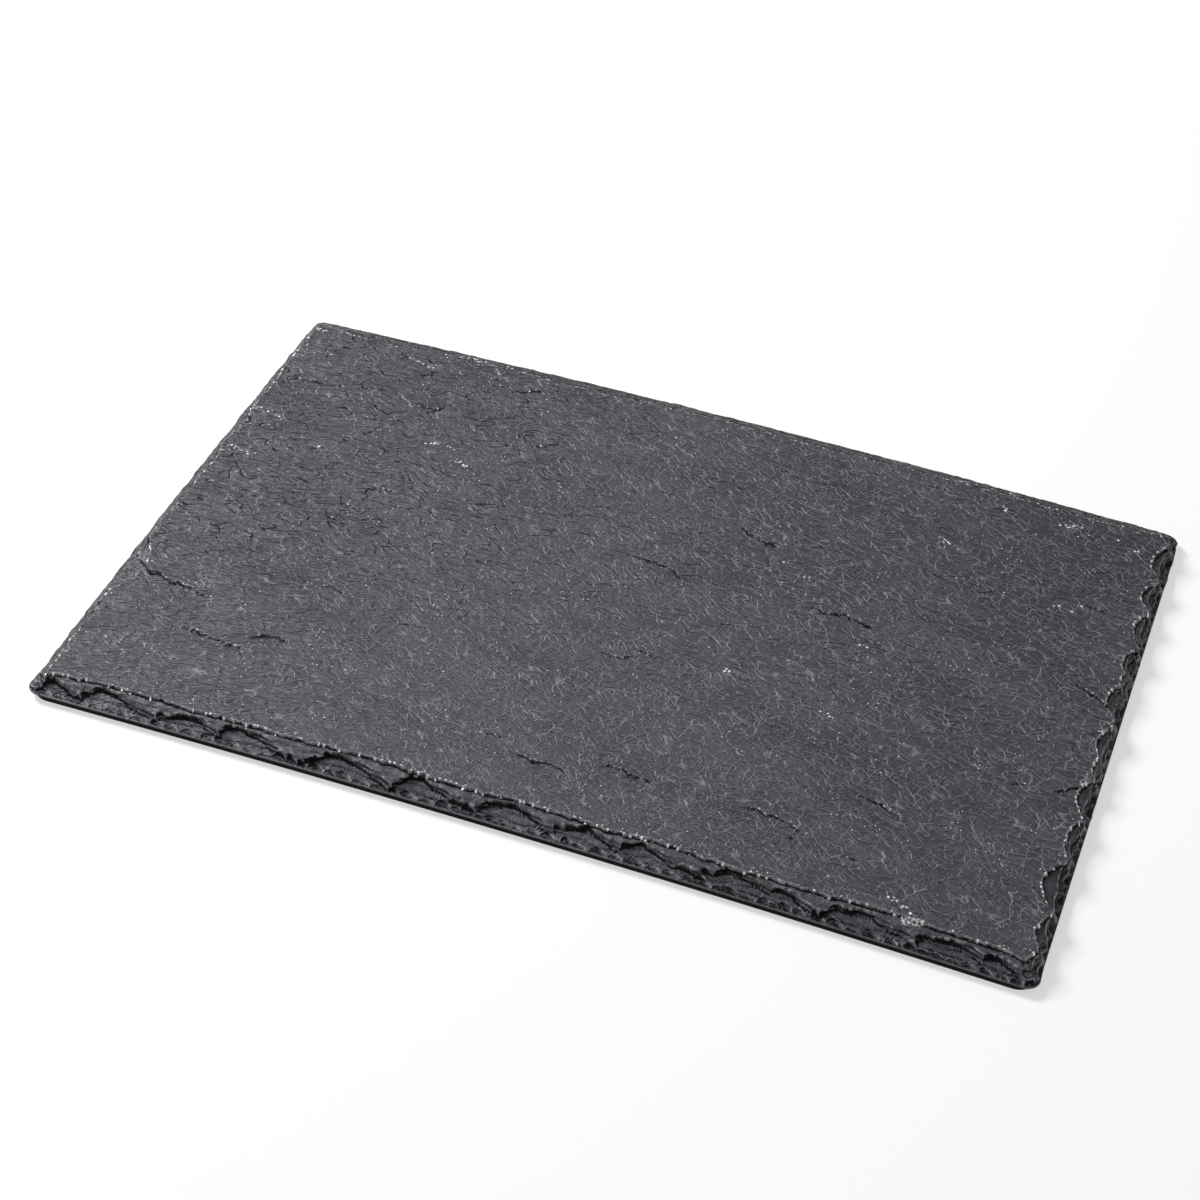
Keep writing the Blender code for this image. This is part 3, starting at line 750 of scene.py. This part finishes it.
def slate_material(stone, groups):
    """Riven slate: dense fine wrinkles, cleavage lines, mottled greys, bruised crests, painted shade,
    highlights and mica glints.
    """
    material, tree, shader = start_material("riven slate")
    place = millimetres(tree)
    swirl = vectors("SUBTRACT", soft_noise(place, 11.0, 0.0, "Color"), (0.5, 0.5, 0.5))
    bent = vectors("MULTIPLY_ADD", swirl, (SWIRL, SWIRL, 0.0), place)
    from_rim, crest, turned_away, from_ledge, ledge_open, from_edge, pit, in_rows, scuffed = [
        attribute(tree, name) for name in ("from_rim", "crest", "turned_away", "from_ledge", "ledge_open",
                                           "from_edge", "pit", "row_closeness", "scuffed")]
    x, y, _ = node("ShaderNodeSeparateXYZ", {0: place}).outputs
    on_top = ramp(from_rim, -0.3, 0.2)
    near_top = ramp(from_rim, -0.5, 0.6, ramp(y, -70.0, 40.0, 0.3, 0.9), 1.0)

    # Wrinkles lie along the left end, run down to the right on the rest, and cross each other everywhere
    rightness = maths("MULTIPLY_ADD", soft_noise(place, 60, 0.0), 60.0, x)
    rightness = ramp(rightness, -85.0, 45.0)
    leftness = maths("SUBTRACT", 1.0, rightness)
    ridge, beside = stone_wrinkles(groups, place, bent, rightness, leftness)
    ridge, beside = times(ridge, near_top), times(beside, near_top)
    swell = creased_swells(bent, rightness, leftness)

    # Cleavage lines: short dark breaks, most of them at the left
    crack_share = maths("MULTIPLY_ADD", rightness, -0.60, 0.85)
    crack = group_node(groups["Strokes"], place=bent, direction=math.radians(6), stretch=2.8, spacing=2.9,
                       length=8.0, width=0.26, spread=0.5, bend=0.09, share=crack_share, apart=21.3)[0]
    patchy = soft_noise(place, 5.0, 3.0)
    crack = times(crack, ramp(patchy, 0.38, 0.60, 0.25, 1.0))

    # Thin layers end in long wavy steps along the lie of the ledges
    lying = turned(bent, math.radians(12))
    level = times(streaks(lying, 19.0, 7.0, 1.5), 7.0)
    tread = maths("FRACT", level)
    terrace = maths("ADD", maths("FLOOR", level), ramp(tread, 0.0, 0.12))
    # Each step gets a dark line, partly a break and partly painted shade of its riser
    stepped = ramp(patchy, 0.42, 0.60, 0.15, ramp(rightness, 0.0, 1.0, 1.0, 0.45))
    stepped = times(band(tread, 0.06, 0.03, 0.10), stepped)
    crack = times(most(crack, times(stepped, 0.8)), on_top)
    crack = times(crack, ramp(y, -70.0, 0.0, 0.2, 1.0))

    # The greys drift slowly in long streaks; painted light makes them paler at the left and painted shade
    # darker at the back right
    slow = streaks(lying, 62.0, 17.0)
    grain = group_node(groups["Grain"], place=place, size=0.30)
    painted_light_and_shade_by_end = ramp(x, 25.0, 125.0, 0.14, -0.06)
    painted_shade_at_back = times(ramp(y, 10.0, 85.0, 0.0, -0.17), rightness)
    shade = weighted((slow, 0.9), (patchy, 0.6), (grain, 1.1), (painted_light_and_shade_by_end, 1.0), (painted_shade_at_back, 1.0))
    base = blend(ramp(shade, 0.95, 1.65), (*stone.dark, 1), (*stone.pale, 1))
    # Painted shade in the hollow beside each stroke
    base = blend(times(beside, 0.70), base, (*[0.3 * value for value in stone.dark], 1))
    # The wrinkle crests are paler, partly as a painted highlight of their lit side
    base = blend(times(ridge, 0.80), base, (*stone.crest, 1))

    # Painted shade darkens the walls turned from the light, the hollows, the pits and the break under the
    # rim, and the clefts are dark cracks that take painted shade too
    uneven = soft_noise(place, 1.1)
    # Hollows take painted shade
    hollow = ramp(crest, -0.07, -0.005, 0.85, 0.0)
    # Slopes turned from the light take painted shade, from gentler slopes at the right end
    at_right = ramp(x, 138.0, 144.0)
    wall_low = weighted((at_right, 0.4), (1.0, 0.7))
    wall_high = weighted((at_right, 0.9), (1.0, 1.5))
    wall = ramp(turned_away, wall_low, wall_high, 0.0, 0.97)
    # At the steps of the ledges a dark crack also carries painted shade
    here_open = times(maths("ADD", uneven, soft_noise(place, 4.2)), ledge_open)
    step_crack_and_shade = band(from_ledge, 0.16, 0.08, 0.28, 0.90)
    step_crack_and_shade = times(step_crack_and_shade, ramp(here_open, 0.62, 1.15))
    # Painted shadow under the step of the rim
    painted_shadow_under_rim = band(from_rim, -0.26, 0.08, 0.30, 0.97)
    # Painted shade in the pits of the chips
    painted_pit_shade = times(ramp(pit, 0.55, 1.0), ramp(uneven, 0.30, 0.55, 0.35, 0.85))
    dark = most(hollow, wall, step_crack_and_shade, painted_shadow_under_rim, times(crack, 0.85), painted_pit_shade)
    dark = times(dark, ramp(from_edge, 0.15, 0.60))

    # The bevels of the left and back sides are turned from the light, and painted shade darkens them
    # unevenly
    at_left = ramp(x, -142.0, -145.0)
    painted_shade_behind = most(ramp(y, 88.0, 92.0), at_left)
    painted_shade_behind = times(painted_shade_behind, ramp(uneven, 0.35, 0.65, 0.10, 0.65))
    dark = most(dark, times(painted_shade_behind, ramp(from_rim, -0.1, 0.1, 1.0, 0.0)))
    base = blend(dark, base, (*[0.14 * value for value in stone.dark], 1))

    # Crests of the flakes are bruised pale and take a painted highlight, and a broken painted highlight
    # runs along the rim
    broken = ramp(soft_noise(place, 1.6), 0.40, 0.62)
    rim_highlight = band(from_rim, 0.14, 0.12, 0.36, 0.8)
    rim_highlight = times(rim_highlight, ramp(soft_noise(place, 2.4), 0.40, 0.58))
    wear_and_highlight = most(times(ramp(crest, 0.03, 0.12), broken), rim_highlight)
    base = blend(times(wear_and_highlight, 0.75), base, (*stone.pale_wear_and_highlight, 1))

    # Painted glints dot the rim, the ledges and the rows, and painted mica glints lie here and there
    at_rim = band(from_rim, 0.18, 0.42, 0.62)
    at_ledge = times(band(from_ledge, -0.25, 0.2, 0.5, 0.6), ledge_open)
    dot_size = weighted((most(at_right, at_left), 0.08), (1.0, 0.26))
    rim_dots, row_dots, mica = [
        group_node(groups["Glints"], place=place, spacing=spacing, size=size, share=share)
        for spacing, size, share in ((1.8, dot_size, 0.70), (1.35, 0.40, 0.62), (1.4, 0.19, 0.08))]
    near_rim = times(ramp(from_rim, 0.0, 7.0, 1.0, 0.0), on_top)
    clusters = ramp(soft_noise(place, 14.0), 0.50, 0.66, 0.15, 1.0)
    scuff = times(ramp(scuffed, 0.15, 0.6), ramp(soft_noise(place, 0.7), 0.35, 0.6))
    glint = most(times(most(at_rim, at_ledge), rim_dots),
                 times(ramp(in_rows, 0.58, 0.74), row_dots),
                 times(mica, most(near_rim, clusters), on_top), times(scuff, 0.8))
    base = blend(glint, base, (*stone.glint, 1))

    # Where the dark lies, over the cracks and the painted shade, the shader becomes a metal of its own
    # black, so it takes no pale shine
    tree.links.new(ramp(dark, 0.0, 0.9), shader.inputs["Metallic"])
    shader.inputs["Specular IOR Level"].default_value = 0.45
    roughness = weighted((patchy, 0.16), (ridge, -0.10), (glint, -0.20), (1.0, 0.42))
    swell = times(swell, ramp(from_rim, -0.4, 0.4, 0.4, 1.0))
    swell_height = ramp(rightness, 0.0, 1.0, -0.38, -0.22)
    terrace_height = ramp(rightness, 0.0, 1.0, 0.22, 0.08)
    height = weighted((ridge, 0.20), (beside, -0.08), (swell, swell_height), (terrace, terrace_height),
                      (grain, 0.045), (crack, -0.16), (step_crack_and_shade, -0.20), (glint, 0.03))
    finish_shader(tree, shader, base, roughness, height)
    return material


def foam_material(backing, groups):
    """Matte black closed-cell foam, a little paler where its cells are cut."""
    material, tree, shader = start_material("black foam")
    cells = group_node(groups["Grain"], place=millimetres(tree), size=0.22)
    base = blend(ramp(cells, 0.35, 0.65), (*backing.black, 1), (*backing.worn, 1))
    shader.inputs["Specular IOR Level"].default_value = 0.12
    finish_shader(tree, shader, base, ramp(cells, 0.3, 0.7, 0.72, 0.90), times(cells, 0.05))
    return material


def shared_groups():
    """Returns the shader node groups, made once."""
    makers = {"Wrinkles": wrinkle_group, "Strokes": stroke_group, "Glints": glint_group,
              "Grain": grain_group}
    return {name: bpy.data.node_groups.get(name) or make() for name, make in makers.items()}


def finish_piece(mesh_tree, name, material, sharp_angle, cad_node):
    """Turns a bmesh into a piece that rides on the frame in place of a CAD node."""
    mesh = bpy.data.meshes.new(name)
    mesh_tree.to_mesh(mesh)
    mesh_tree.free()
    mesh.materials.append(material)
    mesh.shade_smooth()
    mesh.set_sharp_from_angle(angle=math.radians(sharp_angle))
    piece = bpy.data.objects.new(name, mesh)
    bpy.context.scene.collection.objects.link(piece)
    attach(piece, "root")
    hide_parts(cad_node)


def refine(net, chosen, cuts):
    """Cuts the edges between the chosen vertices of a net, and fills their faces with a finer net."""
    net.verts.index_update()
    edges = [edge for edge in net.edges if chosen[edge.verts[0].index] and chosen[edge.verts[1].index]]
    bmesh.ops.subdivide_edges(net, edges=edges, cuts=cuts, use_grid_fill=True)


def climb(edge):
    """Returns how much higher one end of an edge is than the other."""
    return abs(edge.verts[0].co.z - edge.verts[1].co.z)


def round_off(form, edges, offset, segments):
    """Rounds the edges of a form."""
    bmesh.ops.bevel(form, geom=edges, offset=offset, offset_type="OFFSET", segments=segments, profile=0.5,
                    affect="EDGES", material=-1)


def net_places(net):
    """Returns the places of a net's vertices on the plan with its round corners."""
    places = np.array([vertex.co[:2] for vertex in net.verts])
    return round_corner(places[:, 0], places[:, 1], CORNER_RADIUS)


# Within these distances of a ledge and of the rim the net is cut again, and once more where it is steep
CLOSE_TO_LEDGE = 0.0009
CLOSE_TO_RIM = 0.0010
CLOSEST_TO_RIM = 0.0002

# Slopes that fall this way are turned from the light, and the material paints shade on them
LIGHT_SIDE = (-0.8, 0.6)

# How far the rows of painted glints and the scuff spread from their rows, and the gap over the backing
ROW_REACH = 0.0026
SCUFF_REACH = 0.0014
BACKING_GAP = 0.00002


class SLATE_OT_add_stone(bpy.types.Operator):
    """Builds the riven stone"""
    bl_idname = "slate.add_stone"
    bl_label = "Add Stone"

    def execute(self, context):
        stone = context.scene.slate_stone
        backing_top = BACKING_BOX[1].z
        net = bmesh.new()
        columns, rows = round(LENGTH / stone.net_step), round(WIDTH / stone.net_step)
        bmesh.ops.create_grid(net, x_segments=columns, y_segments=rows, size=0.5)
        bmesh.ops.scale(net, verts=net.verts, vec=(LENGTH, WIDTH, 1))
        x, y = net_places(net)
        _, beyond, opened = ledges(x, y)
        by_rim = surface(x, y, stone, backing_top)[1] < stone.fine_band
        refine(net, by_rim | (abs(beyond) < stone.net_step) & (opened > 0), 2)
        for closeness, beyond_rim, steepness in ((CLOSE_TO_LEDGE, CLOSE_TO_RIM, 0.0),
                                                 (0.0, CLOSEST_TO_RIM, stone.finest_slope)):
            x, y = net_places(net)
            _, from_rim, slope_x, slope_y, _ = relief(x, y, stone, backing_top)
            _, beyond, opened = ledges(x, y)
            in_view = (y + WIDTH / 2 < stone.front_band) | (LENGTH / 2 - x < stone.right_band)
            bevel = in_view & (from_rim < beyond_rim) & (np.hypot(slope_x, slope_y) >= steepness)
            refine(net, bevel | (abs(beyond) < closeness) & (opened > 0), 1)

        x, y = net_places(net)
        z, from_rim, slope_x, slope_y, crest = relief(x, y, stone, backing_top)
        _, beyond, opened = ledges(x, y)
        # The stored values tell the material where to paint shade, in hollows, on slopes turned from the
        # light and in pits, and where to paint glints along the rows
        stored = {"from_rim": from_rim / MM, "crest": crest / MM, "from_ledge": beyond / MM,
                  "ledge_open": opened, "turned_away": LIGHT_SIDE[0] * slope_x + LIGHT_SIDE[1] * slope_y,
                  "pit": cut_depth(x, y, chips(), stone.outline_wander) / MM,
                  "from_edge": edge_distance(x, y, CORNER_RADIUS) / MM,
                  "row_closeness": row_closeness(x, y, GLINT_ROWS, ROW_REACH),
                  "scuffed": row_closeness(x, y, (SCUFF,), SCUFF_REACH)}
        layers = {name: net.verts.layers.float.new(name) for name in stored}
        net.verts.ensure_lookup_table()
        places = zip(*bow(*worn_outline(x, y, stone.outline_wear)), z)
        for number, (vertex, place) in enumerate(zip(net.verts, places)):
            vertex.co = place
            for name, layer in layers.items():
                vertex[layer] = stored[name][number]

        rim = [edge for edge in net.edges if edge.is_boundary]
        side = bmesh.ops.extrude_edge_only(net, edges=rim)["geom"]
        for vertex in (item for item in side if isinstance(item, bmesh.types.BMVert)):
            vertex.co.z = backing_top + BACKING_GAP
        underside = [item for item in side if isinstance(item, bmesh.types.BMEdge) and item.is_boundary]
        bmesh.ops.triangle_fill(net, edges=underside, use_beauty=False)
        bmesh.ops.recalc_face_normals(net, faces=net.faces)
        finish_piece(net, "riven_stone", slate_material(stone, shared_groups()), 38, "slate_slab")
        return {"FINISHED"}


class SLATE_OT_add_backing(bpy.types.Operator):
    """Builds the foam backing"""
    bl_idname = "slate.add_backing"
    bl_label = "Add Backing"

    def execute(self, context):
        backing = context.scene.slate_backing
        sheet = bmesh.new()
        bmesh.ops.create_cube(sheet, size=1)
        bottom, top = BACKING_BOX[0].z, BACKING_BOX[1].z
        long_side, short_side = LENGTH - 2 * backing.inset, WIDTH - 2 * backing.inset
        for vertex in sheet.verts:
            x, y, z = vertex.co
            vertex.co = (long_side * x, short_side * y, top if z > 0 else bottom)
        upright = [edge for edge in sheet.edges if climb(edge) > MM]
        round_off(sheet, upright, backing.corner, 16)
        long_edges = [edge for edge in sheet.edges if edge.calc_length() > WIDTH / 2]
        bmesh.ops.subdivide_edges(sheet, edges=long_edges, cuts=31)
        cut_edges = [edge for edge in sheet.edges if climb(edge) < MM
                     and len({round(face.normal.z, 1) for face in edge.link_faces}) > 1]
        round_off(sheet, cut_edges, backing.softened, 2)
        for vertex in sheet.verts:
            vertex.co.x, vertex.co.y = bow(vertex.co.x, vertex.co.y)
        bmesh.ops.recalc_face_normals(sheet, faces=sheet.faces)
        foam = foam_material(backing, shared_groups())
        finish_piece(sheet, "foam_sheet", foam, 50, "foam_backing")
        return {"FINISHED"}


# The floor lies this far under the backing, so that the two don't flicker
FLOOR_GAP = 0.0002


def soft_light(name, place, size, power):
    """Adds a square soft light aimed at the slab."""
    light = bpy.data.lights.new(name, "AREA")
    light.size, light.energy = size, power
    lamp = bpy.data.objects.new(name, light)
    lamp.location = place
    lamp.rotation_euler = (-Vector(place)).to_track_quat("-Z", "Y").to_euler()
    bpy.context.scene.collection.objects.link(lamp)


class SLATE_OT_set_stage(bpy.types.Operator):
    """Lays the floor and sets the lights and the camera"""
    bl_idname = "slate.set_stage"
    bl_label = "Set Stage"

    def execute(self, context):
        stage = context.scene.slate_stage
        plain = bmesh.new()
        bmesh.ops.create_grid(plain, x_segments=1, y_segments=1, size=6)
        mesh = bpy.data.meshes.new("floor")
        plain.to_mesh(mesh)
        plain.free()
        material, _, shader = start_material("pale floor")
        shader.inputs["Base Color"].default_value = (*stage.floor, 1)
        shader.inputs["Roughness"].default_value = 0.9
        shader.inputs["Specular IOR Level"].default_value = 0.1
        shader.inputs["Emission Color"].default_value = (1, 1, 1, 1)
        shader.inputs["Emission Strength"].default_value = stage.floor_glow
        mesh.materials.append(material)
        floor = bpy.data.objects.new("floor", mesh)
        floor.location.z = -FLOOR_GAP
        context.scene.collection.objects.link(floor)

        soft_light("key light", (-1.05, 0.36, 0.95), 0.5, stage.key_power)
        soft_light("fill light", (0.9, -0.8, 0.9), 1.2, stage.fill_power)
        world = bpy.data.worlds.new("studio")
        context.scene.world = world
        world.use_nodes = True
        sky = world.node_tree.nodes["Background"]
        sky.inputs["Color"].default_value = (1, 1, 1, 1)
        sky.inputs["Strength"].default_value = stage.sky

        camera = bpy.data.objects.new("camera", bpy.data.cameras.new("camera"))
        camera.data.lens, camera.data.sensor_width = stage.lens, 36
        camera.location, camera.rotation_euler = stage.camera_place, stage.camera_turn
        context.scene.collection.objects.link(camera)
        context.scene.camera = camera
        context.scene.view_settings.view_transform = "Standard"
        return {"FINISHED"}


class SLATE_PT_panel(bpy.types.Panel):
    """Lists the steps and their settings"""
    bl_label = "Slate Slab"
    bl_space_type = "VIEW_3D"
    bl_region_type = "UI"
    bl_category = "Slate Slab"

    def draw(self, context):
        for label, settings, operator in (("Stone", context.scene.slate_stone, SLATE_OT_add_stone),
                                          ("Backing", context.scene.slate_backing, SLATE_OT_add_backing),
                                          ("Stage", context.scene.slate_stage, SLATE_OT_set_stage)):
            box = self.layout.box()
            box.label(text=label)
            for name in settings.__annotations__:
                box.prop(settings, name)
            box.operator(operator.bl_idname)


CLASSES = (SlateSettings, BackingSettings, StageSettings, SLATE_OT_add_stone, SLATE_OT_add_backing,
           SLATE_OT_set_stage, SLATE_PT_panel)


def register():
    """Registers the classes and the settings on the scene."""
    for item in CLASSES:
        bpy.utils.register_class(item)
    bpy.types.Scene.slate_stone = bpy.props.PointerProperty(type=SlateSettings)
    bpy.types.Scene.slate_backing = bpy.props.PointerProperty(type=BackingSettings)
    bpy.types.Scene.slate_stage = bpy.props.PointerProperty(type=StageSettings)


def unregister():
    """Removes the settings and the classes."""
    del bpy.types.Scene.slate_stone, bpy.types.Scene.slate_backing, bpy.types.Scene.slate_stage
    for item in reversed(CLASSES):
        bpy.utils.unregister_class(item)


def main():
    """Builds the pieces and the stage."""
    register()
    bpy.ops.slate.add_stone()
    bpy.ops.slate.add_backing()
    bpy.ops.slate.set_stage()


if __name__ == "__main__":
    main()
